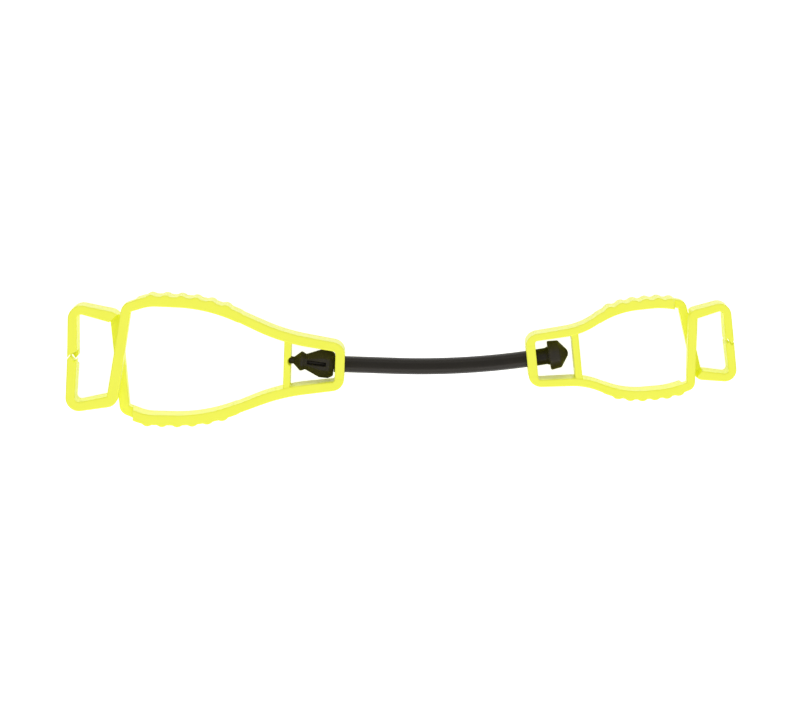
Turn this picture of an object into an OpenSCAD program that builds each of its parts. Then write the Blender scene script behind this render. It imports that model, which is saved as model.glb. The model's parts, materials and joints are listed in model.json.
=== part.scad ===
// Double-ended utility clip.
// Two crossing-arm spring clips, a large one and a small one, are joined by a short flexible
// connector. The clip lies on its side: its arms move in the XY plane and its depth is along Z.
// Squeezing the ribbed bows of a clip makes its crossing arms open the toothed jaws.

/* [Both clips] */
// Depth of both clips, along Z
clip_depth = 12.7; // [10:0.1:16]
// Thickness of the end wall that the connector passes through
wall_t = 2.4; // [2:0.1:3.2]
// Thickness of the strut that closes the window
strut_t = 1.8; // [1.6:0.1:2.6]
// Height of each grip rib over the bow
rib_h = 0.45; // [0.2:0.05:0.8]
// Radius of each grip rib's round crest
rib_r = 1.2; // [0.8:0.1:1.6]
// Number of grip ribs on each bow
rib_count = 6; // [3:1:7]
// Height of the interlocking teeth at the jaw tips
tooth_h = 0.9; // [0.4:0.1:1.4]
// Gap between the closed teeth
tooth_gap = 0.3; // [0.2:0.05:0.6]
// Gap in Z between the two legs where they cross
lap_gap = 0.4; // [0.3:0.05:0.8]
// Running clearance around each bending place
hinge_gap = 0.3; // [0.2:0.05:0.5]

/* [Large clip] */
// Length from the end wall to the jaw tips
large_length = 70.8; // [66:0.1:86]
// Width over the rails at the end wall
large_end_w = 12.0; // [11.8:0.1:14.4]
// Length of the window that holds the connector's head
large_window = 11.3; // [11.2:0.1:13]
// Thickness of the rails
large_rail_t = 2.3; // [1.9:0.1:2.4]
// Width over the rails where they start to spread
large_neck_w = 16.3; // [14.5:0.1:18]
// Thickness where the rails bend
large_waist_t = 2.3; // [1.9:0.1:2.8]
// Width over the bows, without their ribs
large_bow_w = 32.6; // [29:0.1:40]
// Thickness of the bows
large_bow_t = 2.6; // [2.1:0.1:3.2]
// Thickness of the crossing legs
large_leg_t = 2.8; // [2.2:0.1:3.2]
// Width over the jaws
large_jaw_w = 28.1; // [25:0.1:32]
// Thickness of the jaw bars
large_jaw_t = 2.3; // [1.9:0.1:2.8]
// Distance between grip ribs
large_rib_pitch = 3.9; // [3.4:0.1:4.2]

/* [Small clip] */
// Length from the end wall to the jaw tips
small_length = 52.8; // [48:0.1:63.4]
// Width over the rails at the end wall
small_end_w = 13.4; // [12:0.1:16]
// Length of the window that holds the connector's head
small_window = 9.4; // [9:0.1:12]
// Thickness of the rails
small_rail_t = 1.8; // [1.5:0.1:2.2]
// Width over the rails where they start to spread
small_neck_w = 14.9; // [14:0.1:17]
// Thickness where the rails bend
small_waist_t = 2.0; // [1.6:0.1:2.4]
// Width over the bows, without their ribs
small_bow_w = 24.9; // [22:0.1:30]
// Thickness of the bows
small_bow_t = 2.2; // [1.8:0.1:2.8]
// Thickness of the crossing legs
small_leg_t = 2.3; // [1.8:0.1:2.8]
// Width over the jaws
small_jaw_w = 20.8; // [18:0.1:25]
// Thickness of the jaw bars
small_jaw_t = 2.0; // [1.7:0.1:2.4]
// Distance between grip ribs
small_rib_pitch = 3.2; // [2.8:0.1:3.4]

/* [Connector] */
// Diameter of the flexible rod
rod_d = 4.15; // [3.4:0.05:5]
// Clearance all round the rod in the holes of the end walls
hole_clear = 0.6; // [0.5:0.05:0.8]
// Length of the rod between the two end walls, along its curve
rod_span = 46.6; // [36:0.1:60]
// Straight stretch of the rod next to the large clip
rod_straight = 13; // [8:0.1:20]
// Radius of the rod's curve
bend_r = 195; // [120:1:400]
// Bare rod between the small clip's wall and the anchor head
anchor_play = 3.3; // [1:0.1:3.5]
// Diameter of the anchor head
anchor_d = 7.5; // [6.2:0.1:8]
// Length of the anchor head's rim
anchor_rim = 2.8; // [1.5:0.1:3]
// Length of the anchor head's cone
anchor_cone = 2.2; // [1.5:0.1:2.4]
// Greatest diameter of the breakaway head
breakaway_d = 7.6; // [6.4:0.1:7.8]
// Width of the slot in the breakaway head
slot_w = 0.9; // [0.5:0.1:1.2]
// Angle that the small clip hangs back from the rod's end
small_droop = 2.7; // [0:0.1:4]
// Angle of the large clip to the X axis
large_tilt = 1.9; // [0:0.1:5]

/* [Hidden] */

$fn = 64;
arc_steps = 10;     // points on each rounded corner of an outline
lime = "#f0f24a";
black = "#2b2a29";

// A clip's sizes are a list, and these are their places in it.
LENGTH = 0;
END_W = 1;
WINDOW = 2;
RAIL_T = 3;
NECK_X = 4;         // where the rails start to spread
NECK_W = 5;
HINGE_X = 6;        // where the rails bend
WAIST_T = 7;
BOW_X0 = 8;         // the bow's two shoulders
BOW_X1 = 9;
BOW_W = 10;
BOW_T = 11;
CORNER_Y = 12;      // centreline of the bow where it turns into the leg
CROSS_X = 13;       // where the legs cross
LEG_T = 14;
JAW_Y = 15;         // centreline of the leg where it turns into the jaw
JAW_W = 16;
JAW_T = 17;
JAW_DIP = 18;       // how far the jaw bars lean in at the teeth
JAW_R = 19;         // radii of the centreline
NECK_R = 20;
BOW_R0 = 21;
BOW_R1 = 22;
RIB_X0 = 23;        // the first grip rib
RIB_PITCH = 24;

// The bow, the legs and the jaws keep their places from the jaw tips, the rails from the wall.
large = [
    large_length, large_end_w, large_window, large_rail_t,
    wall_t + large_window + strut_t + 0.5, large_neck_w, 26.5, large_waist_t,
    large_length - 35.8, large_length - 20.3, large_bow_w, large_bow_t,
    large_bow_w / 2 - 3.1, large_length - 13.2, large_leg_t,
    large_jaw_w / 2 - 3.4, large_jaw_w, large_jaw_t, 0.3, 2.3,
    50, 42, 12, large_length - 40.4, large_rib_pitch
];
small = [
    small_length, small_end_w, small_window, small_rail_t,
    wall_t + small_window + strut_t + 0.6, small_neck_w, 18.8, small_waist_t,
    small_length - 29, small_length - 17.5, small_bow_w, small_bow_t,
    small_bow_w / 2 - 2.3, small_length - 10.7, small_leg_t,
    small_jaw_w / 2 - 2.7, small_jaw_w, small_jaw_t, 0.1, 2,
    18, 28, 22, small_length - 30.9, small_rib_pitch
];
leg_lean = 0.15;    // how far a leg leans along X for each millimetre that it crosses

// ---- outlines: a bar of varying thickness along a path with rounded corners ----
// Each corner of a path is [x, y, radius, thickness]; the first and last are its ends. A radius
// that is too large for the stretches beside its corner is limited by the shorter one.
// Each sample is [[x, y], [left normal], thickness].
function unit(v) = v / norm(v);
function left_of(v) = [-v.y, v.x];
function spot(c) = [c[0], c[1]];

function corner_samples(a, b, c) =
    let (
        u = unit(spot(a) - spot(b)),
        w = unit(spot(c) - spot(b)),
        half = acos(u * w) / 2,
        turn = sign(u.y * w.x - u.x * w.y),
        reach = 0.95 * min(norm(spot(a) - spot(b)), norm(spot(c) - spot(b))),
        r = min(b[2], reach * tan(half)),
        centre = spot(b) + unit(u + w) * r / sin(half),
        first = spot(b) + u * r / tan(half) - centre,
        start = atan2(first.y, first.x),
        sweep = turn * (180 - 2 * half)
    )
    [
        for (i = [0:arc_steps])
            let (angle = start + sweep * i / arc_steps, radial = [cos(angle), sin(angle)])
                [centre + r * radial, -turn * radial, b[3]]
    ];

function path_samples(path) =
    let (last = len(path) - 1)
    [
        [spot(path[0]), left_of(unit(spot(path[1]) - spot(path[0]))), path[0][3]],
        for (i = [1:last - 1]) each corner_samples(path[i - 1], path[i], path[i + 1]),
        [spot(path[last]), left_of(unit(spot(path[last]) - spot(path[last - 1]))), path[last][3]]
    ];

function bar_outline(samples) = concat(
    [for (s = samples) s[0] + s[1] * s[2] / 2],
    [for (i = [len(samples) - 1:-1:0]) samples[i][0] - samples[i][1] * samples[i][2] / 2]
);

// ---- one clip in its own frame: X from the end wall to the jaws, its axis on y = 0 ----
// Centreline corners of the upper side: rail, neck and bow. The hinge lies on the line between.
function wall_corner(c) = [wall_t / 2, (c[END_W] - c[RAIL_T]) / 2, 2, c[RAIL_T]];
function neck(c) = [c[NECK_X], (c[NECK_W] - c[RAIL_T]) / 2, c[NECK_R], (c[RAIL_T] + c[BOW_T]) / 2];
function bow_start(c) = [c[BOW_X0], (c[BOW_W] - c[BOW_T]) / 2, c[BOW_R0], c[BOW_T]];
function bow_end(c) = [c[BOW_X1], (c[BOW_W] - c[BOW_T]) / 2 + 0.15, c[BOW_R1], c[BOW_T]];
function bow_corner(c) = [c[CROSS_X] - leg_lean * c[CORNER_Y], c[CORNER_Y], c[BOW_T] / 2 + 0.1, c[BOW_T] - 0.1];
function jaw_heel(c) = [c[CROSS_X] + leg_lean * c[JAW_Y], -c[JAW_Y], c[LEG_T] / 2 + 0.15, c[LEG_T]];
function jaw_toe(c) = [c[LENGTH] - c[JAW_T] / 2, -(c[JAW_W] - c[JAW_T]) / 2, c[JAW_R], c[JAW_T]];
function jaw_tip(c) = [c[LENGTH] - c[JAW_T] / 2 - c[JAW_DIP], tooth_h + 1, 0, c[JAW_T] + 0.2];

function hinge(c) =
    let (a = spot(neck(c)), b = spot(bow_start(c)), t = (c[HINGE_X] - a.x) / (b.x - a.x))
    a + (b - a) * t;
function hinge_corner(c) = [hinge(c).x, hinge(c).y, 0, c[WAIST_T]];
function flip(p) = [p[0], -p[1], p[2], p[3]];

function arm_path(c) = [
    hinge_corner(c), bow_start(c), bow_end(c), bow_corner(c), jaw_heel(c), jaw_toe(c), jaw_tip(c)
];
function frame_path(c) = [
    hinge_corner(c), neck(c), wall_corner(c), flip(wall_corner(c)), flip(neck(c)), flip(hinge_corner(c))
];

// Height of the bow's outer face at x, from the samples of its two shoulders and its corner
function bow_table(c) =
    [for (s = path_samples([for (i = [0:4]) arm_path(c)[i]])) [s[0].x + s[1].x * s[2] / 2, s[0].y + s[1].y * s[2] / 2]];
function bow_face(c, x) = lookup(x, [for (i = [0:2 * arc_steps + 2]) bow_table(c)[i]]);

// The ribs are parts of cylinders that stand out of the bow's face, no deeper than its inside.
module ribs(c) {
    crest_r = min(rib_r, (c[BOW_T] + rib_h) / 2 - 0.1);
    for (i = [0:rib_count - 1]) {
        x = c[RIB_X0] + i * c[RIB_PITCH];
        translate([x, bow_face(c, x) - crest_r + rib_h, 0])
            cylinder(r = crest_r, h = clip_depth);
    }
}

// Space beyond the jaw's toothed end: a zigzag of one ridge and one groove across the bar
module tooth_space(c) {
    inner = c[LENGTH] - c[JAW_DIP] - c[JAW_T] - 0.1;
    w = c[JAW_T] + 0.2;
    polygon([
        [inner - 2, -tooth_gap / 2],
        [inner + 0.05 * w, -tooth_gap / 2],
        [inner + 0.3 * w, tooth_h - tooth_gap / 2],
        [inner + 0.7 * w, -tooth_h - tooth_gap / 2],
        [inner + 0.95 * w, -tooth_gap / 2],
        [inner + w + 2, -tooth_gap / 2],
        [inner + w + 2, tooth_h + 3],
        [inner - 2, tooth_h + 3]
    ]);
}

// An arm of full depth. side is 1 for the arm whose bow is on +y and whose jaw is on -y, and -1
// for its mirror image, whose teeth are cut to the other half of the same zigzag.
module whole_arm(c, side) {
    difference() {
        mirror([0, side > 0 ? 0 : 1, 0]) {
            linear_extrude(clip_depth) polygon(bar_outline(path_samples(arm_path(c))));
            ribs(c);
        }
        translate([hinge(c).x, side * hinge(c).y, -1])
            cylinder(r = c[WAIST_T] / 2 + hinge_gap, h = clip_depth + 2);
        translate([side > 0 ? 0 : 2 * (c[LENGTH] - c[JAW_DIP] - c[JAW_T] / 2), 0, -1])
            rotate(side > 0 ? 0 : 180)
                linear_extrude(clip_depth + 2) tooth_space(c);
    }
}

// The stretch over which an arm has half the depth: its leg, and its bow's corner, which passes
// the other arm's leg as the clip is squeezed.
module lap_space(c, side) {
    x0 = bow_corner(c)[0] - c[BOW_T] / 2 + 0.1;
    x1 = jaw_heel(c)[0] + c[LEG_T] / 2 - 0.2;
    heel = c[JAW_Y] + 0.35;
    far = c[BOW_W];
    translate([x0, side > 0 ? -heel : -far])
        square([x1 - x0, far + heel]);
}

// The arm with its bow on -y crosses over, and the one with its bow on +y crosses under.
module over_arm(c) {
    difference() {
        whole_arm(c, -1);
        translate([0, 0, -1])
            linear_extrude(clip_depth / 2 + lap_gap / 2 + 1) lap_space(c, -1);
    }
}

module under_arm(c) {
    difference() {
        whole_arm(c, 1);
        translate([0, 0, clip_depth / 2 - lap_gap / 2])
            linear_extrude(clip_depth) lap_space(c, 1);
    }
}

// End wall, window rails, strut and the round ends that the arms bend about
module end_frame(c) {
    strut_x = wall_t + c[WINDOW];
    rail_y = (c[NECK_W] - c[RAIL_T]) / 2;
    difference() {
        union() {
            linear_extrude(clip_depth) polygon(bar_outline(path_samples(frame_path(c))));
            translate([strut_x, -rail_y, 0])
                cube([strut_t, 2 * rail_y, clip_depth]);
            for (side = [-1, 1])
                translate([hinge(c).x, side * hinge(c).y, 0])
                    cylinder(d = c[WAIST_T], h = clip_depth);
        }
        translate([-1, 0, clip_depth / 2])
            rotate([0, 90, 0])
                cylinder(d = rod_d + 2 * hole_clear, h = wall_t + 2);
    }
}

// ---- places of the clips and the connector ----
// The rod's path starts at the large clip's wall and runs along +X, then curves towards +Y.
function turn_xy(a, p) = [p.x * cos(a) - p.y * sin(a), p.x * sin(a) + p.y * cos(a)];
function bend_at(s) = max(s - rod_straight, 0) / bend_r * 180 / PI;
function rod_point(s) =
    let (a = bend_at(s))
    s < rod_straight ? [s, 0] : [rod_straight + bend_r * sin(a), bend_r * (1 - cos(a))];

rod_rise = 0.25;    // how far the rod lies off each clip's axis in its hole, towards +Y
small_angle = bend_at(rod_span + wall_t / 2) - small_droop - large_tilt;
small_hole = turn_xy(-large_tilt, rod_point(rod_span + wall_t / 2));
small_place = small_hole - turn_xy(small_angle, [wall_t / 2, rod_rise]);

// The origin is under the middle of the whole clip: between the two jaws' tips along X, and on
// the large clip's axis at the middle of its bows along Y, where the clip is widest.
reach_left = -large_length * cos(large_tilt);
reach_right = small_place.x + small_length * cos(small_angle) + 7 * sin(small_angle);
bow_middle = large_length - 28;
middle = [(reach_left + reach_right) / 2, bow_middle * sin(large_tilt) - rod_rise];

module at_large() {
    translate([-middle.x, -middle.y - rod_rise, 0])
        rotate(180 - large_tilt)
            children();
}

module at_small() {
    translate([small_place.x - middle.x, small_place.y - middle.y, 0])
        rotate(small_angle)
            children();
}

// The connector's frame: X along the rod from the large clip's wall, at the middle of the depth
module at_connector() {
    translate([-middle.x, -middle.y, clip_depth / 2])
        rotate(-large_tilt)
            children();
}

// ---- sub-parts ----
module large_end_frame() {
    color(lime)
        at_large()
            difference() {
                end_frame(large);
                tail_notch();
            }
}

module large_over_arm() {
    color(lime) at_large() over_arm(large);
}

module large_under_arm() {
    color(lime) at_large() under_arm(large);
}

module small_end_frame() {
    color(lime) at_small() end_frame(small);
}

module small_over_arm() {
    color(lime) at_small() over_arm(small);
}

module small_under_arm() {
    color(lime) at_small() under_arm(small);
}

// The breakaway head's own axis runs from its rear face at 0 to the cut-off pull tail. It leans
// in the window, so that the tail lies in a notch in the strut.
head_gap = 0.3;     // from the wall to the head's rear face
head_lean = 4.5;
head_y = 0.2;       // the rear face's place beside the clip's axis
breakaway_x0 = wall_t + head_gap;
tail_d = 1.9;
tail_end = large_window - head_gap + 0.6;
neck_end = tail_end - 4.3;
notch_r = tail_d / 2 + 0.7;
notch_depth = 1.1;  // into the strut

breakaway_profile = [
    [0, 0], [breakaway_d / 2 - 1, 0], [breakaway_d / 2, 1.2], [breakaway_d / 2, 3.5],
    [2.1, neck_end], [2.5, neck_end + 0.8], [2.5, neck_end + 1.3], [0.85, neck_end + 3.1],
    [tail_d / 2, neck_end + 3.1], [tail_d / 2, tail_end], [0, tail_end]
];

module at_breakaway() {
    rotate(180)
        translate([breakaway_x0, head_y, 0])
            rotate(-head_lean)
                children();
}

module breakaway_head() {
    color(black)
        at_connector()
            at_breakaway()
                difference() {
                    rotate([0, 90, 0])
                        rotate_extrude() polygon(breakaway_profile);
                    translate([2.2, -slot_w / 2, 0])
                        cube([neck_end - 2.7, slot_w, breakaway_d]);
                }
}

// Notch in the strut's window side, open to the top, where the pull tail lies
module tail_notch() {
    translate([
        wall_t + large_window + notch_depth - notch_r,
        head_y - rod_rise - tail_end * sin(head_lean),
        clip_depth / 2 - tail_d / 2 - hinge_gap
    ])
        cylinder(r = notch_r, h = clip_depth);
}

// The rod: straight from the breakaway head's leaning rear face, and then one curve up to the
// anchor head
rod_end = rod_span + wall_t + anchor_play;

module connector_rod() {
    color(black)
        at_connector() {
            difference() {
                translate([-breakaway_x0 - 1, 0, 0])
                    rotate([0, 90, 0])
                        cylinder(d = rod_d, h = breakaway_x0 + 1 + rod_straight);
                at_breakaway()
                    translate([0, -rod_d, -rod_d])
                        cube(2 * rod_d);
            }
            translate([rod_straight, bend_r, 0])
                rotate(-90)
                    rotate_extrude(angle = bend_at(rod_end), $fn = 720)
                        translate([bend_r, 0])
                            circle(d = rod_d);
        }
}

module anchor_head() {
    color(black)
        at_connector()
            translate([rod_point(rod_end).x, rod_point(rod_end).y, 0])
                rotate([0, 90, bend_at(rod_end)])
                    rotate_extrude()
                        polygon([
                            [0, 0], [anchor_d / 2, 0], [anchor_d / 2, anchor_rim],
                            [0.7, anchor_rim + anchor_cone], [0, anchor_rim + anchor_cone]
                        ]);
}

large_end_frame();
large_over_arm();
large_under_arm();
small_end_frame();
small_over_arm();
small_under_arm();
connector_rod();
breakaway_head();
anchor_head();
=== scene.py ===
"""Looks of a double-ended utility clip: two crossing-arm spring clips and their flexible connector.

Lengths in the settings are in metres. A clip's own frame has x from its end wall to its jaw tips,
y = 0 on its axis and z = 0 on its resting side.
"""

import json
import math

import bmesh
import bpy
import numpy as np
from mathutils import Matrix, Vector


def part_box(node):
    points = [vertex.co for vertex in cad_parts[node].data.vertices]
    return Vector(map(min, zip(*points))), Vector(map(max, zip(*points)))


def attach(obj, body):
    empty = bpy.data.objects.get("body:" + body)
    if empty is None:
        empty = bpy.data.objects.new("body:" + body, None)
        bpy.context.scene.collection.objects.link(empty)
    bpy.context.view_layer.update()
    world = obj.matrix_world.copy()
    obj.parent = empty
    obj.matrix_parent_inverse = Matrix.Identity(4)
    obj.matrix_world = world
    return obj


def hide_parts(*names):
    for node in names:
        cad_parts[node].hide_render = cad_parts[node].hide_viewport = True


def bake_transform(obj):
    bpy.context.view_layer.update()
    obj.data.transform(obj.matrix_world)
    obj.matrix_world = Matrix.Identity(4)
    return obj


bl_info = {
    "name": "Double-ended utility clip",
    "version": (1, 0, 0),
    "blender": (4, 5, 0),
    "location": "3D View > Sidebar > Clip",
    "description": "Detailed surfaces and finishes for a double-ended clip with a flexible connector",
    "category": "Object",
}

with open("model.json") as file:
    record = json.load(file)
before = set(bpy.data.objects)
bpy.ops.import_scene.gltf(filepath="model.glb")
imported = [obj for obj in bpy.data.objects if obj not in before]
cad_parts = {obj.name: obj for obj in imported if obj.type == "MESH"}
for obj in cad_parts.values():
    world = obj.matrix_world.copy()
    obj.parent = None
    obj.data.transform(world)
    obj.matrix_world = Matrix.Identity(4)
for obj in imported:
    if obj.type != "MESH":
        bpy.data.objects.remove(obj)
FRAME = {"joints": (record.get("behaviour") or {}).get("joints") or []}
JOINTS = {joint["name"]: joint for joint in FRAME["joints"]}
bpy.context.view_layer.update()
MM = 0.001
TUCKED_ROWS = 3  # rows of an arm that lie inside its end frame
LEG_LEAN = 0.127  # a leg's change in x per change in y
# painted light: the heads get a paler copy of the rod's black, for the light their facets catch
HEAD_PAINTED_LIFT = 1.9  # how many times as pale as the rod the heads are
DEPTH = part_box("large_end_frame")[1].z


def length(name, text, default):
    """A setting that is a length in metres."""
    return bpy.props.FloatProperty(name=name, description=text, default=default, unit="LENGTH", precision=5)


def colour(name, text, default):
    """A setting that is a linear colour."""
    return bpy.props.FloatVectorProperty(
        name=name, description=text, default=default, subtype="COLOR", size=3, min=0, max=1
    )


# ---- settings ----
class ClipSizes:
    """Sizes that both clips have. The defaults of each clip are in its own group."""

    end_w: length("End width", "Width over the rails at the end wall", 0.012)
    window: length("Window", "Length of the window that holds a head", 0.0113)
    rail_t: length("Rail", "Thickness of the rails", 0.0023)
    neck_w: length("Neck width", "Width over the rails where they spread", 0.0163)
    hinge_x: length("Bending place", "Distance from the wall to where the rails bend", 0.0265)
    waist_t: length("Waist", "Thickness where the rails bend", 0.0023)
    clip_length: length("Length", "Length from the end wall to the jaw tips", 0.0708)
    bow_w: length("Bow width", "Width over the bows, without their ribs", 0.0326)
    bow_t: length("Bow", "Thickness of the bows", 0.0026)
    leg_t: length("Leg", "Thickness of the crossing legs", 0.0028)
    jaw_w: length("Jaw width", "Width over the jaws", 0.0281)
    jaw_t: length("Jaw bar", "Thickness of the jaw bars", 0.0023)
    jaw_dip: length("Jaw dip", "How far the jaw bars lean in at the teeth", 0.0003)
    shoulder_0: length("First shoulder", "From the jaw tips back to the bow's first shoulder", 0.0358)
    shoulder_1: length("Second shoulder", "From the jaw tips back to the bow's second shoulder", 0.0203)
    cross: length("Crossing", "From the jaw tips back to the legs' crossing", 0.0132)
    first_rib: length("First rib", "From the jaw tips back to the first grip rib", 0.0404)
    rib_pitch: length("Rib pitch", "Distance between grip ribs", 0.0039)


class LargeClipSettings(bpy.types.PropertyGroup, ClipSizes):
    """Sizes of the large clip."""

    neck_r: length("Neck radius", "Radius of the centreline at the neck", 0.050)
    shoulder_r0: length("First shoulder radius", "Radius at the bow's first shoulder", 0.042)
    shoulder_r1: length("Second shoulder radius", "Radius at the bow's second shoulder", 0.012)
    corner_drop: length("Corner drop", "From the bow's outside to its turn into the leg", 0.0031)
    heel_drop: length("Heel drop", "From the jaw's outside to the leg's turn into it", 0.0034)
    jaw_r: length("Toe radius", "Radius of the jaw's outer corner", 0.0023)


class SmallClipSettings(bpy.types.PropertyGroup, ClipSizes):
    """Sizes of the small clip."""

    end_w: length("End width", "Width over the rails at the end wall", 0.0134)
    window: length("Window", "Length of the window that holds a head", 0.0094)
    rail_t: length("Rail", "Thickness of the rails", 0.0018)
    neck_w: length("Neck width", "Width over the rails where they spread", 0.0149)
    hinge_x: length("Bending place", "Distance from the wall to where the rails bend", 0.0188)
    waist_t: length("Waist", "Thickness where the rails bend", 0.0020)
    clip_length: length("Length", "Length from the end wall to the jaw tips", 0.0528)
    bow_w: length("Bow width", "Width over the bows, without their ribs", 0.0249)
    bow_t: length("Bow", "Thickness of the bows", 0.0022)
    leg_t: length("Leg", "Thickness of the crossing legs", 0.0023)
    jaw_w: length("Jaw width", "Width over the jaws", 0.0208)
    jaw_t: length("Jaw bar", "Thickness of the jaw bars", 0.0020)
    jaw_dip: length("Jaw dip", "How far the jaw bars lean in at the teeth", 0.0001)
    shoulder_0: length("First shoulder", "From the jaw tips back to the bow's first shoulder", 0.0290)
    shoulder_1: length("Second shoulder", "From the jaw tips back to the bow's second shoulder", 0.0175)
    cross: length("Crossing", "From the jaw tips back to the legs' crossing", 0.0107)
    first_rib: length("First rib", "From the jaw tips back to the first grip rib", 0.0309)
    rib_pitch: length("Rib pitch", "Distance between grip ribs", 0.0032)
    neck_r: length("Neck radius", "Radius of the centreline at the neck", 0.018)
    shoulder_r0: length("First shoulder radius", "Radius at the bow's first shoulder", 0.023)
    shoulder_r1: length("Second shoulder radius", "Radius at the bow's second shoulder", 0.022)
    corner_drop: length("Corner drop", "From the bow's outside to its turn into the leg", 0.0023)
    heel_drop: length("Heel drop", "From the jaw's outside to the leg's turn into it", 0.0027)
    jaw_r: length("Toe radius", "Radius of the jaw's outer corner", 0.0020)


class MouldingSettings(bpy.types.PropertyGroup):
    """Sizes and finish of both lime mouldings."""

    wall_t: length("End wall", "Thickness of the end walls", 0.0024)
    strut_t: length("Strut", "Thickness of the struts that close the windows", 0.0018)
    strut_drop: length("Strut drop", "How far a strut's sides lie below the rails'", 0.0002)
    edge_r: length("Edge radius", "Radius of the moulded edges", 0.00032)
    rib_h: length("Rib height", "Height of a grip rib over its bow", 0.00045)
    rib_r: length("Rib radius", "Radius of a grip rib's crest", 0.0012)
    rib_count: bpy.props.IntProperty(
        name="Ribs", description="Number of ribs on each bow", default=6, min=3, max=7
    )
    tooth_h: length("Tooth height", "Height of the jaw teeth", 0.0009)
    tooth_gap: length("Tooth gap", "Gap between the closed teeth", 0.0003)
    lap_gap: length("Lap gap", "Gap between the legs where they cross", 0.0004)
    line_h: length("Parting line", "Height of the fine parting line round the mouldings", 0.00005)
    hole_r: length("Hole radius", "Radius of the holes in the end walls", 0.002675)
    # glow is painted light: an even self-glow of the lime that brightens its shaded recesses, though the
    # clips are no lamp
    glow: bpy.props.FloatProperty(
        name="Glow", description="Strength of the lime's fluorescence", default=0.13, min=0
    )
    lime: colour("Lime", "Colour of the clips", (0.92, 0.935, 0.10))
    lime_deep: colour("Deep lime", "Colour of the clips where the plastic is thick", (0.90, 0.915, 0.085))


class ConnectorSettings(bpy.types.PropertyGroup):
    """Sizes and finish of the flexible connector."""

    rod_r: length("Rod radius", "Radius of the flexible rod", 0.002075)
    straight: length("Straight", "Straight stretch of the rod beside the large clip", 0.013)
    bend_r: length("Curve", "Radius of the rod's curve", 0.195)
    rise: length("Rise", "How far the rod lies off the clips' axes", 0.00025)
    head_gap: length("Head gap", "From the large clip's wall to the breakaway head", 0.0003)
    head_y: length("Head offset", "The breakaway head's place beside the rod's axis", 0.0002)
    head_lean: bpy.props.FloatProperty(
        name="Head lean", description="Lean of the breakaway head", default=math.radians(4.5), unit="ROTATION"
    )
    head_r: length("Head radius", "Greatest radius of the breakaway head", 0.0038)
    slot_w: length("Slot", "Width of the breakaway head's slot", 0.0009)
    tail_r: length("Tail radius", "Radius of the cut-off pull tail", 0.00095)
    anchor_r: length("Anchor radius", "Radius of the anchor head", 0.00375)
    anchor_rim: length("Anchor rim", "Length of the anchor head's rim", 0.0028)
    anchor_cone: length("Anchor cone", "Length of the anchor head's cone", 0.0022)
    black: colour("Black", "Colour of the connector", (0.0150, 0.0132, 0.0105))


class StageSettings(bpy.types.PropertyGroup):
    """Floor, light and camera."""

    floor: colour("Floor", "Colour of the floor", (0.72, 0.72, 0.72))
    tilt: bpy.props.FloatProperty(
        name="Camera tilt", description="Tilt of the camera from straight down",
        default=math.radians(5.0), unit="ROTATION"
    )
    distance: length("Camera distance", "Distance from the camera to the clip", 1.2)
    span: length("Camera span", "Width that the camera sees at the middle of the depth", 0.20448)
    aim: bpy.props.FloatVectorProperty(
        name="Aim", description="Shift of the view, in its widths", default=(-0.0018, 0.0014), size=2
    )
    sky: bpy.props.FloatProperty(
        name="Sky", description="Strength of the even light at the horizon", default=0.45, min=0
    )
    zenith: bpy.props.FloatProperty(
        name="Zenith", description="Strength of the even light overhead", default=0.84, min=0
    )
    key: bpy.props.FloatProperty(
        name="Key light", description="Power of the front softbox in watts", default=1.8, min=0
    )


# ---- paths ----
def unit(vector):
    return vector / np.linalg.norm(vector)


def rounded_path(corners, step):
    """Centreline of a bar through corners [x, y, radius, thickness], each rounded by an arc.

    An arc's points are its centre plus the radius at evenly spaced angles, and a straight stretch
    runs linearly between two arcs. The thickness is a corner's own along its arc and changes
    linearly between arcs. Returns rows of x, y, direction x, direction y, thickness, distance.
    """
    corners = np.asarray(corners, float)
    pieces = []
    for before, here, after in zip(corners[:-2], corners[1:-1], corners[2:]):
        back, ahead = unit(before[:2] - here[:2]), unit(after[:2] - here[:2])
        half = math.acos(np.clip(back @ ahead, -1, 1)) / 2
        if half > math.radians(89.9):
            pieces.append(np.array([[*here[:2], *ahead, here[3]]] * 2))
            continue
        turn = np.sign(back[1] * ahead[0] - back[0] * ahead[1])
        radius = here[2]
        centre = here[:2] + unit(back + ahead) * radius / math.sin(half)
        first = here[:2] + back * radius / math.tan(half) - centre
        sweep = turn * (math.pi - 2 * half)
        count = max(4, int(radius * abs(sweep) / (step / 2 if radius < 0.004 else step)))
        angle = math.atan2(first[1], first[0]) + sweep * np.linspace(0, 1, count + 1)
        ring = np.stack([np.cos(angle), np.sin(angle)], 1)
        direction = turn * np.stack([-ring[:, 1], ring[:, 0]], 1)
        points = centre + radius * ring
        pieces.append(np.column_stack([points, direction, np.full(count + 1, here[3])]))
    rows = []
    start, start_t = corners[0, :2], corners[0, 3]
    for piece in [*pieces, None]:
        stop, stop_t = (corners[-1, :2], corners[-1, 3]) if piece is None else (piece[0, :2], piece[0, 4])
        gap = np.linalg.norm(stop - start)
        count = max(1, int(gap / step))
        share = np.linspace(0, 1, count + 1)[:, None]
        direction = np.tile(unit(stop - start), (count + 1, 1))
        thick = start_t + share * (stop_t - start_t)
        straight = np.column_stack([start + share * (stop - start), direction, thick])
        rows.append(straight if piece is None else straight[:-1])
        if piece is not None:
            rows.append(piece[:-1])
            start, start_t = piece[-1, :2], piece[-1, 4]
    path = np.concatenate(rows)
    distance = np.concatenate([[0], np.cumsum(np.linalg.norm(np.diff(path[:, :2], axis=0), axis=1))])
    return np.column_stack([path, distance])


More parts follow.
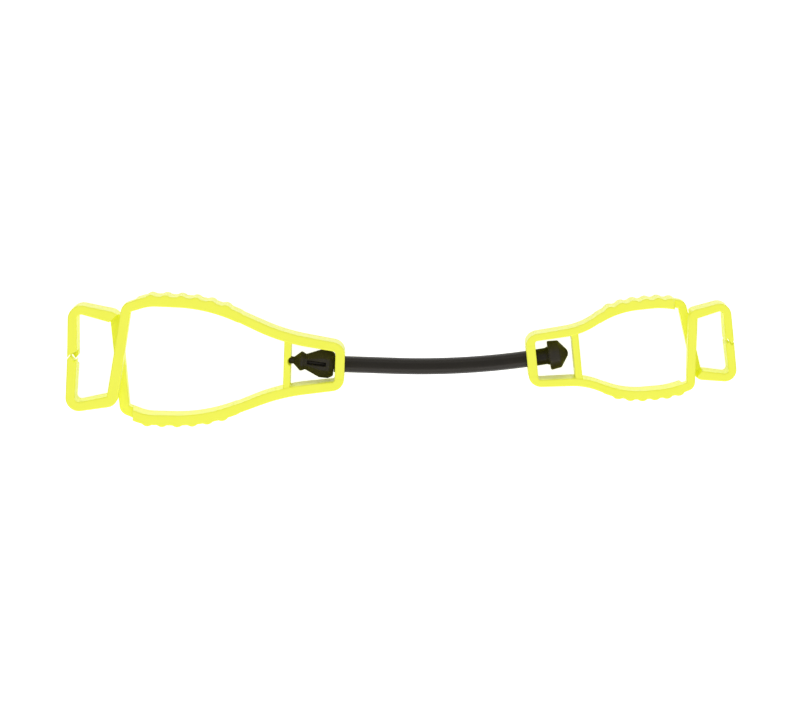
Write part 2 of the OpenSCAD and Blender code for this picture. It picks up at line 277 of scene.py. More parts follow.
def clip_corners(c, m):
    """Corners of the upper side of a clip, from the middle of its end wall to its jaw tip."""
    end = c.clip_length
    spread = m.wall_t + c.window + m.strut_t + (0.5 if c.window > 0.010 else 0.6) * MM
    corner_y, heel_y = c.bow_w / 2 - c.corner_drop, c.jaw_w / 2 - c.heel_drop
    cross = end - c.cross
    tip_x = end - c.jaw_t / 2 - c.jaw_dip
    neck = np.array([spread, (c.neck_w - c.rail_t) / 2])
    bow = np.array([end - c.shoulder_0, (c.bow_w - c.bow_t) / 2])
    waist = neck + (bow - neck) * (c.hinge_x - neck[0]) / (bow[0] - neck[0])
    return [
        [m.wall_t / 2, 0, 0, m.wall_t],
        [m.wall_t / 2, (c.end_w - c.rail_t) / 2, 2 * MM, c.rail_t],
        [*neck, c.neck_r, (c.rail_t + c.bow_t) / 2],
        [*waist, 0, c.waist_t],
        [*bow, c.shoulder_r0, c.bow_t],
        [end - c.shoulder_1, (c.bow_w - c.bow_t) / 2 + 0.15 * MM, c.shoulder_r1, c.bow_t],
        [cross - LEG_LEAN * corner_y, corner_y, c.bow_t / 2 + 0.1 * MM, c.bow_t - 0.1 * MM],
        [cross + LEG_LEAN * heel_y, -heel_y, c.leg_t / 2 + 0.15 * MM, c.leg_t],
        [end - c.jaw_t / 2, -(c.jaw_w - c.jaw_t) / 2, c.jaw_r, c.jaw_t],
        [tip_x, 0, 0, c.jaw_t + 0.2 * MM],
    ]


def place_of(far_joint, near_joint, hinge_x):
    """Origin and x direction of a clip's frame, from the places of its two bending joints."""
    a, b = (np.array(JOINTS[name]["pos_m"][:2]) for name in (far_joint, near_joint))
    across = unit(a - b)
    forward = np.array([across[1], -across[0]])
    return (a + b) / 2 - forward * hinge_x, forward


# ---- sections ----
def half_section(columns=14, rows=5):
    """Upper half of a bar's rounded section, from its left side over the top to its right side.

    Each point is (inner across, corner across, inner up, corner up): its place is the inner
    rectangle's half size times the inner share, plus the edge radius times the corner share.
    """
    quarter = np.linspace(0, np.pi / 2, 5)
    side = (np.arange(rows) + 0.5) / rows
    left = np.column_stack([-np.ones(rows), -np.ones(rows), side, np.zeros(rows)])
    ones = np.ones(5)
    left_arc = np.column_stack([-ones, -np.cos(quarter), ones, np.sin(quarter)])
    top = np.linspace(-1, 1, columns + 2)[1:-1]
    flat = np.column_stack([top, 0 * top, np.ones(columns), np.ones(columns)])
    right_arc = np.column_stack([ones, np.cos(quarter[::-1]), ones, np.sin(quarter[::-1])])
    right = np.column_stack([np.ones(rows), np.ones(rows), side[::-1], np.zeros(rows)])
    return np.concatenate([left, left_arc, flat, right_arc, right])


def loop_section(columns=14, rows=5):
    """Whole rounded section: the upper half, then the same points mirrored below, backwards."""
    upper = half_section(columns, rows)
    return np.concatenate([upper, upper[::-1] * [1, 1, -1, -1]])


def bar_surface(path, depth, edge, left=None, low=None, high=None, end_shift=None, line_h=0.0,
                columns=14, rows=5):
    """Bar of rectangular section with rounded edges, carried along a path in the plane.

    A point lies at the path's centre plus its left normal times the section's share of the half
    thickness. left is extra thickness on the left side along the path, low and high give the lower
    and upper side's height at (x, y), end_shift moves the points in the plane, and line_h is the
    height of the parting line.
    """
    section = loop_section(columns, rows)
    centre, direction, thick = path[:, None, 0:2], path[:, None, 2:4], path[:, 4:5]
    normal = np.stack([-direction[..., 1], direction[..., 0]], -1)
    n = len(path)
    extra = np.zeros((n, 1)) if left is None else left[:, None]
    half = thick / 2 + extra * np.clip(section[:, 0], 0, None)
    across = section[:, 0] * (half - edge) + section[:, 1] * edge
    place = centre + normal * across[..., None]
    if end_shift is not None:
        place = end_shift(place)
    bottom = np.zeros(place.shape[:2]) if low is None else low(place[..., 0], place[..., 1])
    top = np.full(place.shape[:2], depth) if high is None else high(place[..., 0], place[..., 1])
    height = (top + bottom) / 2 + section[:, 2] * ((top - bottom) / 2 - edge) + section[:, 3] * edge
    if line_h:
        # the parting line is a small crown at the middle of the depth on the bar's two sides
        crown = line_h * np.exp(-(((height - depth / 2) / (0.18 * MM)) ** 2)) * (np.abs(section[:, 1]) == 1)
        place = place + normal * (np.sign(section[:, 0]) * crown)[..., None]
    vertices = np.concatenate([place, height[..., None]], -1).reshape(-1, 3)
    m = len(section)
    k = np.arange(m // 2 - 1)
    cap = np.stack([k, k + 1, m - 2 - k, m - 1 - k], 1)
    return vertices, np.concatenate([grid_faces(n, m, wrap=True), cap, cap[:, ::-1] + (n - 1) * m])


def grid_faces(n, m, wrap=False):
    """Quads of a grid of n rows and m columns, whose columns close on themselves if wrap is set."""
    i, j = np.meshgrid(np.arange(n - 1), np.arange(m if wrap else m - 1), indexing="ij")
    k = (j + 1) % m
    return np.stack([i * m + j, i * m + k, (i + 1) * m + k, (i + 1) * m + j], -1).reshape(-1, 4)


def joined(*surfaces):
    """Several surfaces as one."""
    vertices, faces, count = [], [], 0
    for v, f in surfaces:
        vertices.append(v)
        faces.append(f + count)
        count += len(v)
    return np.concatenate(vertices), np.concatenate(faces)


def turned(surface, mirror):
    """The surface mirrored across the clip's axis, its faces turned back outwards."""
    vertices, faces = surface
    return (vertices * [1, -1, 1], faces[:, ::-1]) if mirror else surface


def placed(surface, origin, forward):
    """The surface moved from a clip's frame to the row's frame."""
    vertices, faces = surface
    sideways = np.array([-forward[1], forward[0]])
    plan = origin + vertices[:, :1] * forward + vertices[:, 1:2] * sideways
    return np.column_stack([plan, vertices[:, 2]]), faces


def make_piece(name, surface, material, sharp=38):
    """A mesh object from a surface, smooth except where faces meet at more than the sharp angle."""
    vertices, faces = surface
    mesh = bpy.data.meshes.new(name)
    mesh.from_pydata(vertices.tolist(), [], [list(face) for face in faces])
    mesh.update()
    mesh.validate()
    piece = bpy.data.objects.new(name, mesh)
    bpy.context.scene.collection.objects.link(piece)
    mesh.materials.append(material)
    mesh.polygons.foreach_set("use_smooth", np.ones(len(mesh.polygons), bool))
    mesh.set_sharp_from_angle(angle=math.radians(sharp))
    outward(mesh)
    return piece


def outward(mesh):
    """Merges points that coincide and turns all faces outwards."""
    work = bmesh.new()
    work.from_mesh(mesh)
    bmesh.ops.remove_doubles(work, verts=work.verts, dist=1e-7)
    bmesh.ops.recalc_face_normals(work, faces=work.faces)
    work.to_mesh(mesh)
    work.free()


def smooth_step(t):
    """0 below 0, 1 above 1 and a smooth cubic between."""
    t = np.clip(t, 0, 1)
    return t * t * (3 - 2 * t)


# ---- a clip's surfaces in its own frame ----
def rib_rise(path, c, m):
    """Height of the grip ribs over the bow's outer face along the path.

    A rib is the part of a circle of the rib's radius that stands over the face, and a soft
    maximum with zero fillets its foot.
    """
    face = path[:, 0] - path[:, 3] * path[:, 4] / 2
    first = c.clip_length - c.first_rib
    nearest = np.clip(np.round((face - first) / c.rib_pitch), 0, m.rib_count - 1)
    from_rib = face - first - nearest * c.rib_pitch
    circle = np.sqrt(np.clip((1.45 * m.rib_r) ** 2 - from_rib**2, 0, None)) - 1.45 * m.rib_r + m.rib_h
    soft = 0.05 * MM
    rise = soft * np.log1p(np.exp(np.clip(circle / soft, -40, 40)))
    on_bow = (path[:, 1] > 0) & (path[:, 2] > 0.5)
    return np.where(on_bow, rise, 0)


def lap_share(x, y, c, m):
    """1 where the legs cross at half depth and 0 outside, with a short smooth step between.

    At the bow's end the step lies across the bow, and at the heel it lies on the line that halves
    the angle between the leg and the jaw bar.
    """
    soft = 0.22 * MM
    corner, heel, toe = (np.array(point[:2]) for point in clip_corners(c, m)[6:9])
    across_heel = unit(unit(corner - heel) + unit(toe - heel))
    from_heel = (y - heel[1]) * across_heel[0] - (x - heel[0]) * across_heel[1]
    bow_end = corner[0] - c.bow_t / 2 - 1.1 * MM
    return smooth_step((x - bow_end) / soft) * smooth_step(from_heel / soft)


def tooth_shift(c, m, over):
    """Function that bends a jaw's end into one ridge and one groove across the bar.

    The end's points move along y by a zigzag of x, less and less away from the end. The ridge is
    lower than the groove is deep, so that the closed jaws leave a small opening at their teeth.
    """
    inner = c.clip_length - c.jaw_dip - c.jaw_t - 0.1 * MM
    w = c.jaw_t + 0.2 * MM
    at = inner + w * np.array([0.05, 0.3, 0.7, 0.95])
    zigzag = np.array([0, 0.75 * m.tooth_h, -m.tooth_h, 0])

    def shift(place):
        x, y = place[..., 0], place[..., 1]
        middle = c.clip_length - c.jaw_dip - c.jaw_t / 2
        wave = np.interp(2 * middle - x if over else x, at, zigzag) - m.tooth_gap / 2
        near = smooth_step((y + 2.6 * MM) / (2.6 * MM)) * (x > inner - 1 * MM)
        return np.stack([x, y + near * wave], -1)

    return shift


def rounded_tip(path, reach):
    """The path with its bar drawn in over the last stretch, as a quarter circle, for a soft tip."""
    from_end = path[-1, 5] - path[:, 5]
    drawn = reach - np.sqrt(np.clip(reach**2 - np.clip(reach - from_end, 0, None) ** 2, 0, None))
    out = path.copy()
    out[:, 4] -= 1.2 * drawn
    return out


def arm_surface(c, m, over):
    """An arm from the end frame's seam to its jaw tip. The over arm is mirrored, with its bow on -y.

    Its first rows lie just inside the end frame, a little thinner, so that the seam has no gap.
    """
    path = rounded_path(clip_corners(c, m), 0.2 * MM)
    path = path[seam_row(path, c, m) - TUCKED_ROWS:]
    tuck = np.where(np.arange(len(path)) < TUCKED_ROWS, 0.02 * MM, 0)
    path[:, 4] -= 2 * tuck
    step_down = DEPTH / 2 + m.lap_gap / 2

    def low(x, y):
        return tuck[:, None] + (step_down * lap_share(x, y, c, m) if over else 0 * x)

    def high(x, y):
        return DEPTH - tuck[:, None] - (0 * x if over else step_down * lap_share(x, y, c, m))

    surface = bar_surface(
        rounded_tip(path, 0.25 * MM), DEPTH, m.edge_r, left=rib_rise(path, c, m), low=low, high=high,
        end_shift=tooth_shift(c, m, over), line_h=m.line_h,
    )
    return turned(surface, over)


def seam_row(path, c, m):
    """Row of the path where the end frame gives way to the arm, just past the strut."""
    seam_x = m.wall_t + c.window + m.strut_t + 0.4 * MM
    return int(np.argmax((path[:, 0] > seam_x) & (path[:, 5] > 5 * MM)))


def end_wall_surface(half_y, thick, radius, depth, edge):
    """Plate with a round hole: rows run from the hole's mouth out to a rectangle.

    Each direction round the hole has a point on the hole's circle and one on the rectangle, and
    the rows lie between them. The plate thins by a quarter circle at its upper and lower edges
    and at the hole's mouth.
    """
    steps = 24
    t = np.linspace(-1, 1, steps, endpoint=False)
    rect = np.concatenate([
        np.column_stack([np.ones(steps), t]), np.column_stack([-t, np.ones(steps)]),
        np.column_stack([-np.ones(steps), -t]), np.column_stack([t, -np.ones(steps)]),
    ])
    angle = np.arctan2(rect[:, 1] * depth / 2, rect[:, 0] * half_y)
    circle = np.stack([np.cos(angle), np.sin(angle)], 1)
    mouth = 0.3 * MM
    quarter = np.linspace(0, np.pi / 2, 5)
    rows, drops = [], []
    for q in quarter:
        rows.append(circle * (radius + mouth * (1 - np.cos(q))))
        drops.append(mouth * (1 - np.sin(q)))
    inner = rect * [half_y, depth / 2 - edge]
    for share in (0.25, 0.5, 0.75):
        rows.append(rows[4] * (1 - share) + inner * share)
        drops.append(0)
    for q in quarter:
        rows.append(rect * [half_y, depth / 2 - edge + edge * np.sin(q)])
        drops.append(edge * (1 - np.cos(q)))
    plan, drop = np.array(rows), np.array(drops)[:, None]
    low_high = np.abs(plan[..., 1]) - (depth / 2 - edge)
    thin = edge - np.sqrt(np.clip(edge**2 - np.clip(low_high, 0, edge) ** 2, 0, None))
    thin[:5] = drop[:5]
    front = np.stack([thin, plan[..., 0], plan[..., 1] + depth / 2], -1)
    back = np.stack([thick - thin, plan[..., 0], plan[..., 1] + depth / 2], -1)
    loop = np.concatenate([front, back[::-1]])
    n, k = loop.shape[:2]
    faces = grid_faces(n, k, wrap=True)
    j = np.arange(k)
    bore = np.stack([(n - 1) * k + j, (n - 1) * k + (j + 1) % k, (j + 1) % k, j], 1)
    return loop.reshape(-1, 3), np.concatenate([faces, bore])


def end_frame_surface(c, m):
    """End wall with its hole, two rails up to the seams, and their rounded corners."""
    path = rounded_path(clip_corners(c, m), 0.2 * MM)
    rails = path[:seam_row(path, c, m) + 1]
    wall_half = rails[np.argmax(rails[:, 2] > 1e-6) - 1, 1]
    rails = rails[rails[:, 1] >= wall_half - 1e-9].copy()
    blend = smooth_step((rails[:, 5] - rails[0, 5]) / (2.5 * MM))
    rails[:, 4] = m.wall_t * (1 - blend) + rails[:, 4] * blend
    rail = bar_surface(rails, DEPTH, m.edge_r, line_h=m.line_h)
    wall = end_wall_surface(wall_half + 0.03 * MM, m.wall_t, m.hole_r, DEPTH, m.edge_r)
    return joined(rail, turned(rail, True), wall)


def strut_surface(c, m, notch=None):
    """Strut across the window, between the rails, a little below their sides.

    notch is (y, radius, depth, floor) of a round notch in its window side, open to the top.
    """
    x = m.wall_t + c.window + m.strut_t / 2
    reach = (c.neck_w - c.rail_t) / 2 - 0.1 * MM
    path = rounded_path([[x, -reach, 0, m.strut_t], [x, reach, 0, m.strut_t]], 0.1 * MM)

    def low(x, y):
        return 0 * x + m.strut_drop

    def high(x, y):
        return 0 * x + DEPTH - m.strut_drop

    vertices, faces = bar_surface(path, DEPTH, m.edge_r, low=low, high=high, columns=10, rows=22)
    if notch:
        y, radius, deep, floor = notch
        centre_x = m.wall_t + c.window + deep - radius
        limit = centre_x + np.sqrt(np.clip(radius**2 - (vertices[:, 1] - y) ** 2, 0, None))
        window_side = m.wall_t + c.window
        cut = np.clip(limit - window_side, 0, None) * smooth_step((vertices[:, 2] - floor) / (0.3 * MM))
        share = np.clip((window_side + m.strut_t - vertices[:, 0]) / m.strut_t, 0, 1)
        vertices = vertices + np.column_stack([cut * share, 0 * cut, 0 * cut])
    return vertices, faces


# ---- connector surfaces ----
def revolved(profile, sides=96, shape=None):
    """Surface of revolution about x. Profile rows are (x, radius), and shape(x, radius, angle) changes it."""
    profile = np.asarray(profile, float)
    angle = np.linspace(0, 2 * np.pi, sides, endpoint=False)
    x = np.repeat(profile[:, :1], sides, 1)
    r = np.repeat(profile[:, 1:2], sides, 1)
    if shape:
        r = shape(x, r, angle[None, :])
    vertices = np.stack([x, r * np.cos(angle), r * np.sin(angle)], -1).reshape(-1, 3)
    n = len(profile)
    first, last = len(vertices), len(vertices) + 1
    vertices = np.concatenate([vertices, [[profile[0, 0], 0, 0], [profile[-1, 0], 0, 0]]])
    j = np.arange(sides)
    near = np.stack([(j + 1) % sides, j, np.full(sides, first), np.full(sides, first)], 1)
    far = np.stack([j, (j + 1) % sides, np.full(sides, last), np.full(sides, last)], 1)
    far[:, :2] += (n - 1) * sides
    return vertices, [*grid_faces(n, sides, wrap=True).tolist(), *near[:, :3].tolist(), *far[:, :3].tolist()]


def softened(corners, step, radius):
    """Profile through corners (x, r), cut into short steps and eased at each corner.

    The profile is sampled evenly along its length and averaged over a window of the radius.
    """
    corners = np.asarray(corners, float)
    along = np.concatenate([[0], np.cumsum(np.linalg.norm(np.diff(corners, axis=0), axis=1))])
    s = np.arange(0, along[-1], step)
    line = np.column_stack([np.interp(s, along, corners[:, 0]), np.interp(s, along, corners[:, 1])])
    width = max(1, int(radius / step))
    padded = np.concatenate([np.repeat(line[:1], width, 0), line, np.repeat(line[-1:], width, 0)])
    kernel = np.ones(2 * width + 1) / (2 * width + 1)
    return np.column_stack([np.convolve(padded[:, k], kernel, "valid") for k in (0, 1)])


def rod_place(s, k):
    """Point and direction angle of the rod at distance s from the large clip's wall.

    It runs straight, and then round one arc whose angle is the distance past the straight stretch
    over the curve's radius.
    """
    start, forward = place_of("large_squeeze_under", "large_squeeze", bpy.context.scene.large_clip.hinge_x)
    start = start + np.array([0, k.rise])
    tilt = math.atan2(*np.array(JOINTS["breakaway_pull"]["axis"])[[1, 0]])
    bend = np.clip(s - k.straight, 0, None) / k.bend_r
    x = np.minimum(s, k.straight) + k.bend_r * np.sin(bend)
    y = k.bend_r * (1 - np.cos(bend))
    along = np.array([math.cos(tilt), math.sin(tilt)])
    across = np.array([-along[1], along[0]])
    plan = start + np.multiply.outer(x, along) + np.multiply.outer(y, across)
    return plan, tilt + bend


def rod_surface(k, first, last):
    """Round rod along its path, with a low parting line on both sides and a collar at the anchor."""
    s = np.linspace(first, last, 240)
    plan, angle = rod_place(s, k)
    turn = np.linspace(0, 2 * np.pi, 56, endpoint=False)
    line = 0.05 * MM * np.exp(-((np.abs(np.sin(turn)) / 0.06) ** 2))
    collar = 0.28 * MM * smooth_step((s - last + 0.9 * MM) / (0.9 * MM))
    r = k.rod_r + line[None, :] + collar[:, None]
    side = np.stack([-np.sin(angle), np.cos(angle)], 1)
    vertices = np.concatenate([
        plan[:, None, :] + side[:, None, :] * (r * np.cos(turn))[..., None],
        (DEPTH / 2 + r * np.sin(turn))[..., None],
    ], -1)
    n, m = r.shape
    caps = [list(range(m))[::-1], [(n - 1) * m + j for j in range(m)]]
    return vertices.reshape(-1, 3), [*grid_faces(n, m, wrap=True).tolist(), *caps]


def axis_placed(surface, plan, angle):
    """A surface of revolution moved from its own axis to the row's frame, at mid-depth."""
    vertices, faces = surface
    forward = np.array([math.cos(angle), math.sin(angle)])
    side = np.array([-math.sin(angle), math.cos(angle)])
    flat = plan + vertices[:, :1] * forward + vertices[:, 1:2] * side
    return np.column_stack([flat, vertices[:, 2] + DEPTH / 2]), faces


# ---- finishes ----
def node(tree, kind, **values):
    """A new shader node; values whose names are inputs are set there, the others on the node."""
    made = tree.nodes.new(kind)
    for name, value in values.items():
        label = name.replace("_", " ")
        if label in made.inputs:
            made.inputs[label].default_value = value
        else:
            setattr(made, name, value)
    return made


def lime_finish(m):
    """Satin acetal: fine moulded grain, slow flow marks in tone, and a faint painted glow that brightens the
    shaded recesses.
    """
    material = bpy.data.materials.get("lime_acetal") or bpy.data.materials.new("lime_acetal")
    material.use_nodes = True
    tree = material.node_tree
    shader = tree.nodes["Principled BSDF"]
    place = node(tree, "ShaderNodeTexCoord")
    flow = node(tree, "ShaderNodeTexNoise", Scale=140.0, Detail=3.0, Roughness=0.55)
    grain = node(tree, "ShaderNodeTexNoise", Scale=2600.0, Detail=4.0, Roughness=0.6)
    tone = node(tree, "ShaderNodeValToRGB")
    tone.color_ramp.elements[0].position, tone.color_ramp.elements[1].position = 0.3, 0.7
    tone.color_ramp.elements[0].color = (*m.lime_deep, 1)
    tone.color_ramp.elements[1].color = (*m.lime, 1)
    gloss = node(tree, "ShaderNodeMapRange")
    gloss.inputs["To Min"].default_value, gloss.inputs["To Max"].default_value = 0.34, 0.46
    bump = node(tree, "ShaderNodeBump", Strength=0.06, Distance=0.00005)
    for texture in (flow, grain):
        tree.links.new(place.outputs["Object"], texture.inputs["Vector"])
    tree.links.new(flow.outputs["Fac"], tone.inputs["Fac"])
    tree.links.new(tone.outputs["Color"], shader.inputs["Base Color"])
    tree.links.new(grain.outputs["Fac"], gloss.inputs["Value"])
    tree.links.new(gloss.outputs["Result"], shader.inputs["Roughness"])
    tree.links.new(grain.outputs["Fac"], bump.inputs["Height"])
    tree.links.new(bump.outputs["Normal"], shader.inputs["Normal"])
    # painted light: a faint even self-glow of the lime that brightens its shaded recesses
    shader.inputs["Emission Color"].default_value = (0.85, 0.90, 0.0, 1.0)
    shader.inputs["Emission Strength"].default_value = m.glow
    shader.inputs["Specular IOR Level"].default_value = 0.4
    return material


def black_finish(k, name="black_elastomer", painted_lift=1.0):
    """Satin elastomer: dark, with a fine grain, faint drag marks and a soft wide highlight.

    painted_lift is how many times as pale as the rod's the colour is; above 1 it paints light into a paler
    copy of the same black.
    """
    material = bpy.data.materials.get(name) or bpy.data.materials.new(name)
    material.use_nodes = True
    tree = material.node_tree
    shader = tree.nodes["Principled BSDF"]
    place = node(tree, "ShaderNodeTexCoord")
    cloud = node(tree, "ShaderNodeTexNoise", Scale=260.0, Detail=4.0, Roughness=0.6)
    grain = node(tree, "ShaderNodeTexNoise", Scale=3200.0, Detail=3.0, Roughness=0.6)
    tone = node(tree, "ShaderNodeValToRGB")
    # painted_lift above 1 paints light: the same black made paler
    tone.color_ramp.elements[0].color = (*[0.8 * painted_lift * v for v in k.black], 1)
    tone.color_ramp.elements[1].color = (*[1.35 * painted_lift * v for v in k.black], 1)
    gloss = node(tree, "ShaderNodeMapRange")
    gloss.inputs["To Min"].default_value, gloss.inputs["To Max"].default_value = 0.30, 0.44
    bump = node(tree, "ShaderNodeBump", Strength=0.10, Distance=0.00006)
    for texture in (cloud, grain):
        tree.links.new(place.outputs["Object"], texture.inputs["Vector"])
    tree.links.new(cloud.outputs["Fac"], tone.inputs["Fac"])
    tree.links.new(tone.outputs["Color"], shader.inputs["Base Color"])
    tree.links.new(cloud.outputs["Fac"], gloss.inputs["Value"])
    tree.links.new(gloss.outputs["Result"], shader.inputs["Roughness"])
    tree.links.new(grain.outputs["Fac"], bump.inputs["Height"])
    tree.links.new(bump.outputs["Normal"], shader.inputs["Normal"])
    shader.inputs["Specular IOR Level"].default_value = 0.22
    shader.inputs["Specular Tint"].default_value = (1.0, 0.94, 0.87, 1.0)
    return material


def floor_finish(s):
    """Pale floor that the camera and reflections see as white."""
    material = bpy.data.materials.new("white_floor")
    material.use_nodes = True
    tree = material.node_tree
    output = tree.nodes["Material Output"]
    tree.nodes.remove(tree.nodes["Principled BSDF"])
    diffuse = node(tree, "ShaderNodeBsdfDiffuse", Color=(*s.floor, 1))
    glow = node(tree, "ShaderNodeEmission", Strength=0.96)
    rays = node(tree, "ShaderNodeLightPath")
    seen = node(tree, "ShaderNodeMath", operation="MAXIMUM")
    both = node(tree, "ShaderNodeAddShader")
    pick = node(tree, "ShaderNodeMixShader")
    tree.links.new(rays.outputs["Is Camera Ray"], seen.inputs[0])
    tree.links.new(rays.outputs["Is Glossy Ray"], seen.inputs[1])
    tree.links.new(diffuse.outputs[0], both.inputs[0])
    tree.links.new(glow.outputs[0], both.inputs[1])
    tree.links.new(seen.outputs[0], pick.inputs["Fac"])
    tree.links.new(diffuse.outputs[0], pick.inputs[1])
    tree.links.new(both.outputs[0], pick.inputs[2])
    tree.links.new(pick.outputs[0], output.inputs["Surface"])
    return material


# ---- operators ----
def build_clip(name, c, m, notch=None):
    """Makes one clip's pieces and ties its end frame and strut to the clip's frame body."""
    lime = lime_finish(m)
    origin, forward = place_of(f"{name}_squeeze_under", f"{name}_squeeze", c.hinge_x)
    frame_body = f"{name}_frame"
    end = make_piece(f"{name}_clip_end", placed(end_frame_surface(c, m), origin, forward), lime)
    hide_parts(f"{name}_end_frame")
    strut = make_piece(f"{name}_clip_strut", placed(strut_surface(c, m, notch), origin, forward), lime)
    for piece in (end, strut):
        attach(piece, frame_body)
    for arm, over in (("over", True), ("under", False)):
        surface = placed(arm_surface(c, m, over), origin, forward)
        piece = make_piece(f"{name}_{arm}_arm_moulding", surface, lime)
        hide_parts(f"{name}_{arm}_arm")
        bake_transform(piece)


class DOGBONE_OT_large(bpy.types.Operator):
    """Make the large clip: end frame, strut, over arm and under arm"""

    bl_idname = "dogbone.large"
    bl_label = "Large clip"

    def execute(self, context):
        scene = context.scene
        c, m, k = scene.large_clip, scene.moulding, scene.connector
        tail_end = c.window - k.head_gap + 0.6 * MM
        notch = (
            k.head_y - k.rise - tail_end * math.sin(k.head_lean),
            k.tail_r + 0.25 * MM, 0.8 * MM, DEPTH / 2 - k.tail_r - 0.3 * MM,
        )
        build_clip("large", c, m, notch)
        return {"FINISHED"}


class DOGBONE_OT_small(bpy.types.Operator):
    """Make the small clip: end frame, strut, over arm and under arm"""

    bl_idname = "dogbone.small"
    bl_label = "Small clip"

    def execute(self, context):
        build_clip("small", context.scene.small_clip, context.scene.moulding)
        return {"FINISHED"}


class DOGBONE_OT_rod(bpy.types.Operator):
    """Make the flexible rod, which bends between its two ends"""

    bl_idname = "dogbone.rod"
    bl_label = "Flexible rod"

    def execute(self, context):
        k = context.scene.connector
        piece = make_piece("flexible_rod", rod_surface(k, -2.75 * MM, anchor_at(k)), black_finish(k))
        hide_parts("connector_rod")
        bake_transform(piece)
        return {"FINISHED"}


def anchor_at(k):
    """Distance along the rod at which the anchor head's shoulder lies."""
    target = np.array(JOINTS["small_swivel"]["pos_m"][:2])
    s = np.linspace(0.03, 0.08, 2001)
    plan, _ = rod_place(s, k)
    return float(s[np.argmin(np.linalg.norm(plan - target, axis=1))])


class DOGBONE_OT_breakaway(bpy.types.Operator):
    """Make the breakaway head: faceted cone, slot, barb and cut-off pull tail"""

    bl_idname = "dogbone.breakaway"
    bl_label = "Breakaway head"

    def execute(self, context):
        k, c, m = context.scene.connector, context.scene.large_clip, context.scene.moulding
        tail_end = c.window - k.head_gap + 0.6 * MM
        neck = tail_end - 4.3 * MM
        corners = [
            [0, 0.3 * MM], [0, k.head_r - 1 * MM], [1.2 * MM, k.head_r], [3.5 * MM, k.head_r],
            [neck, 2.1 * MM],
            [neck + 0.8 * MM, 2.5 * MM], [neck + 1.3 * MM, 2.5 * MM], [neck + 3.1 * MM, 0.85 * MM],
            [neck + 3.2 * MM, k.tail_r], [tail_end, k.tail_r], [tail_end, 0.1 * MM],
        ]

        def shape(x, r, angle):
            # eight soft facets on the head, and a groove along its upper side
            facet = np.cos(np.pi / 8) / np.cos((angle + np.pi / 8) % (np.pi / 4) - np.pi / 8)
            from_rear = smooth_step((x - 0.4 * MM) / (0.8 * MM))
            on_head = from_rear * smooth_step((neck + 1.5 * MM - x) / (1.5 * MM))
            r = r * (1 + on_head * (np.minimum(facet, 1.0) - 1) * 0.85)
            from_edge = k.slot_w / 2 + 0.12 * MM - np.abs(r * np.cos(angle))
            inside = smooth_step(from_edge / (0.2 * MM)) * (np.sin(angle) > 0)
            along = smooth_step((x - 2.0 * MM) / (0.4 * MM)) * smooth_step((neck - 0.3 * MM - x) / (0.4 * MM))
            return r * (1 - 0.5 * inside * along)

        surface = revolved(softened(corners, 0.06 * MM, 0.16 * MM), 160, shape)
        plan, angle = rod_place(np.array([0.0]), k)
        turned_round = angle[0] + math.pi
        forward = np.array([math.cos(turned_round), math.sin(turned_round)])
        side = np.array([-forward[1], forward[0]])
        rear = plan[0] + forward * (m.wall_t + k.head_gap) + side * k.head_y
        surface = axis_placed(surface, rear, turned_round - k.head_lean)
        # painted light: the head's black is a paler copy of the rod's, for the light its facets catch
        skin = black_finish(k, "black_elastomer_heads_painted_paler", HEAD_PAINTED_LIFT)
        piece = make_piece("breakaway_head_moulding", surface, skin, 30)
        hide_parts("breakaway_head")
        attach(piece, "connector_near")
        return {"FINISHED"}


class DOGBONE_OT_anchor(bpy.types.Operator):
    """Make the anchor head: shoulder, rim and cone"""

    bl_idname = "dogbone.anchor"
    bl_label = "Anchor head"

    def execute(self, context):
        k = context.scene.connector
        tip = k.anchor_rim + k.anchor_cone
        corners = [
            [0, 0.3 * MM], [0, k.anchor_r - 0.2 * MM], [0.25 * MM, k.anchor_r],
            [k.anchor_rim, k.anchor_r - 0.25 * MM], [tip - 0.15 * MM, 0.75 * MM], [tip, 0.1 * MM],
        ]
        surface = revolved(softened(corners, 0.06 * MM, 0.2 * MM), 120)
        plan, angle = rod_place(np.array([anchor_at(k)]), k)
        surface = axis_placed(surface, plan[0], angle[0])
        # painted light: the head's black is a paler copy of the rod's, for the light its surfaces catch
        skin = black_finish(k, "black_elastomer_heads_painted_paler", HEAD_PAINTED_LIFT)
        piece = make_piece("anchor_head_moulding", surface, skin, 40)
        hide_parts("anchor_head")
        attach(piece, "connector_far")
        return {"FINISHED"}


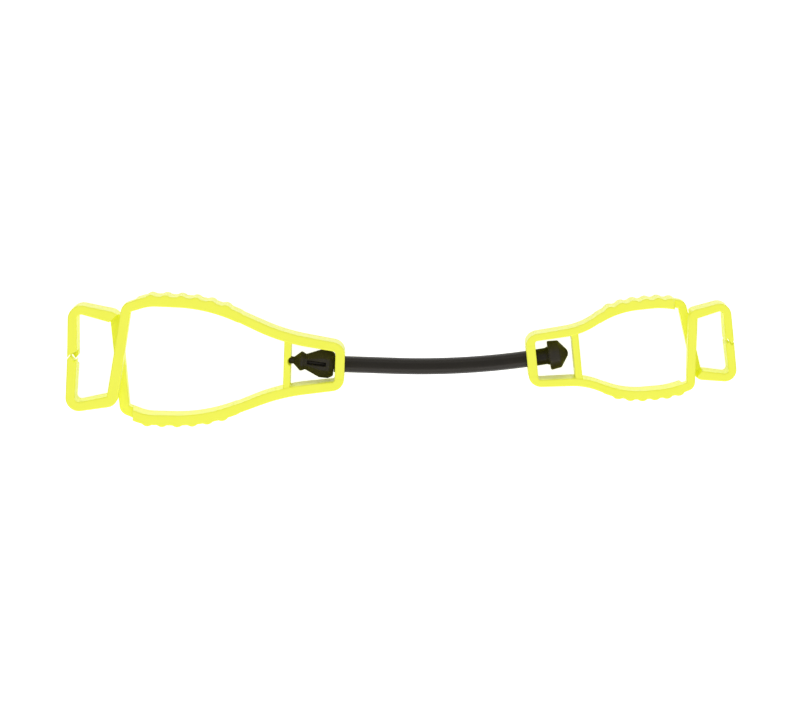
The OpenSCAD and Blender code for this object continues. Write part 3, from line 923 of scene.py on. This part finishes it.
class DOGBONE_OT_stage(bpy.types.Operator):
    """Make the floor, the soft light and the camera"""

    bl_idname = "dogbone.stage"
    bl_label = "Stage"

    def execute(self, context):
        s = context.scene.stage
        scene = context.scene
        scene.view_settings.view_transform = "Standard"
        grid = np.linspace(-1.5, 1.5, 9)
        x, y = np.meshgrid(grid, grid, indexing="ij")
        floor_surface = np.stack([x, y, 0 * x - 0.02 * MM], -1).reshape(-1, 3), grid_faces(9, 9)
        floor = bpy.data.objects.new("floor", bpy.data.meshes.new("floor"))
        floor.data.from_pydata(floor_surface[0].tolist(), [], floor_surface[1].tolist())
        floor.data.materials.append(floor_finish(s))
        scene.collection.objects.link(floor)

        world = bpy.data.worlds.new("studio")
        scene.world = world
        world.use_nodes = True
        tree = world.node_tree
        even = tree.nodes["Background"]
        even.inputs["Color"].default_value = (1, 1, 1, 1)
        place = node(tree, "ShaderNodeTexCoord")
        parts = node(tree, "ShaderNodeSeparateXYZ")
        height = node(tree, "ShaderNodeMapRange")
        height.inputs["From Min"].default_value, height.inputs["From Max"].default_value = 0.2, 1.0
        height.inputs["To Min"].default_value, height.inputs["To Max"].default_value = s.sky, s.zenith
        tree.links.new(place.outputs["Generated"], parts.inputs[0])
        tree.links.new(parts.outputs["Z"], height.inputs["Value"])
        tree.links.new(height.outputs["Result"], even.inputs["Strength"])
        white = node(tree, "ShaderNodeBackground", Color=(1, 1, 1, 1), Strength=1.0)
        rays = node(tree, "ShaderNodeLightPath")
        pick = node(tree, "ShaderNodeMixShader")
        tree.links.new(rays.outputs["Is Camera Ray"], pick.inputs["Fac"])
        tree.links.new(even.outputs[0], pick.inputs[1])
        tree.links.new(white.outputs[0], pick.inputs[2])
        tree.links.new(pick.outputs[0], tree.nodes["World Output"].inputs["Surface"])

        for name, place, size, power in (
            ("softbox_front", (0.05, -0.62, 0.36), 0.5, s.key),
            ("softbox_back", (-0.05, 0.62, 0.30), 0.3, 0.25 * s.key),
        ):
            light = bpy.data.lights.new(name, "AREA")
            light.size, light.energy = size, power
            lamp = bpy.data.objects.new(name, light)
            lamp.location = place
            aim = -np.array(place) / np.linalg.norm(place)
            lamp.rotation_mode = "QUATERNION"
            lamp.rotation_quaternion = look(aim)
            scene.collection.objects.link(lamp)

        camera = bpy.data.cameras.new("camera")
        camera.sensor_width = 36
        camera.lens = 36 * s.distance / s.span
        camera.clip_start, camera.clip_end = 0.05, 10
        camera.shift_x, camera.shift_y = s.aim
        camera_object = bpy.data.objects.new("camera", camera)
        camera_object.rotation_euler = (-s.tilt, 0, 0)
        camera_object.location = (0, s.distance * math.sin(s.tilt), DEPTH / 2 + s.distance * math.cos(s.tilt))
        scene.collection.objects.link(camera_object)
        scene.camera = camera_object
        return {"FINISHED"}


def look(aim):
    """Turn that points an object's -z along aim."""
    return Vector(aim.tolist()).to_track_quat("-Z", "Y")


class DOGBONE_PT_panel(bpy.types.Panel):
    """Buttons that make the clip's pieces"""

    bl_idname = "DOGBONE_PT_panel"
    bl_label = "Double-ended clip"
    bl_space_type = "VIEW_3D"
    bl_region_type = "UI"
    bl_category = "Clip"

    def draw(self, context):
        for operator in OPERATORS:
            self.layout.operator(operator.bl_idname)


OPERATORS = (
    DOGBONE_OT_stage, DOGBONE_OT_large, DOGBONE_OT_small,
    DOGBONE_OT_rod, DOGBONE_OT_breakaway, DOGBONE_OT_anchor,
)
SETTINGS = {
    "large_clip": LargeClipSettings, "small_clip": SmallClipSettings, "moulding": MouldingSettings,
    "connector": ConnectorSettings, "stage": StageSettings,
}


def register():
    for cls in (*SETTINGS.values(), *OPERATORS, DOGBONE_PT_panel):
        bpy.utils.register_class(cls)
    for name, group in SETTINGS.items():
        setattr(bpy.types.Scene, name, bpy.props.PointerProperty(type=group))


def unregister():
    for name in SETTINGS:
        delattr(bpy.types.Scene, name)
    for cls in (DOGBONE_PT_panel, *reversed(OPERATORS), *reversed(SETTINGS.values())):
        bpy.utils.unregister_class(cls)


def main():
    register()
    bpy.ops.dogbone.stage()
    bpy.ops.dogbone.large()
    bpy.ops.dogbone.small()
    bpy.ops.dogbone.rod()
    bpy.ops.dogbone.breakaway()
    bpy.ops.dogbone.anchor()


if __name__ == "__main__":
    main()
